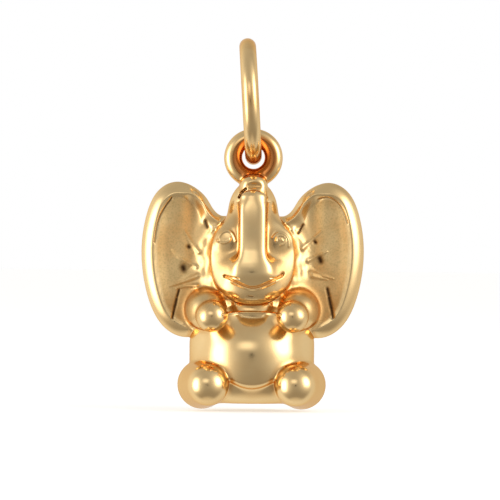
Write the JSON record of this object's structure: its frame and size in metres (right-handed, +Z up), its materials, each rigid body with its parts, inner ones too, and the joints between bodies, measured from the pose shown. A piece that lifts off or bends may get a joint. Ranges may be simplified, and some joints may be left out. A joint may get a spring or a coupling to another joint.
{
  "type": "elephant charm pendant",
  "caption": "Polished gold elephant charm sitting with raised trunk and wide dished ears, hanging by a soldered loop from a plain round bail ring.",
  "frame": {"origin": "inner top of the bail ring, where a chain carries the pendant", "axes": "+Z up along the hanging pendant, the elephant faces -Y, X from ear to ear"},
  "size_m": [0.0119, 0.0068, 0.0199],
  "materials": {
    "figure_gold": "polished 9 carat yellow gold",
    "ring_gold": "polished 9 carat yellow gold"
  },
  "bodies": {
    "bail": {"bail_ring": "ring_gold"},
    "charm": {"charm_figure": "figure_gold"}
  },
  "joints": [
    {"name": "charm_swing", "type": "hinge", "parent": "bail", "child": "charm", "pos_m": [0.00033, 0, -0.00544], "axis": [0, 1, 0], "range_deg": [-90, 90]}
  ]
}
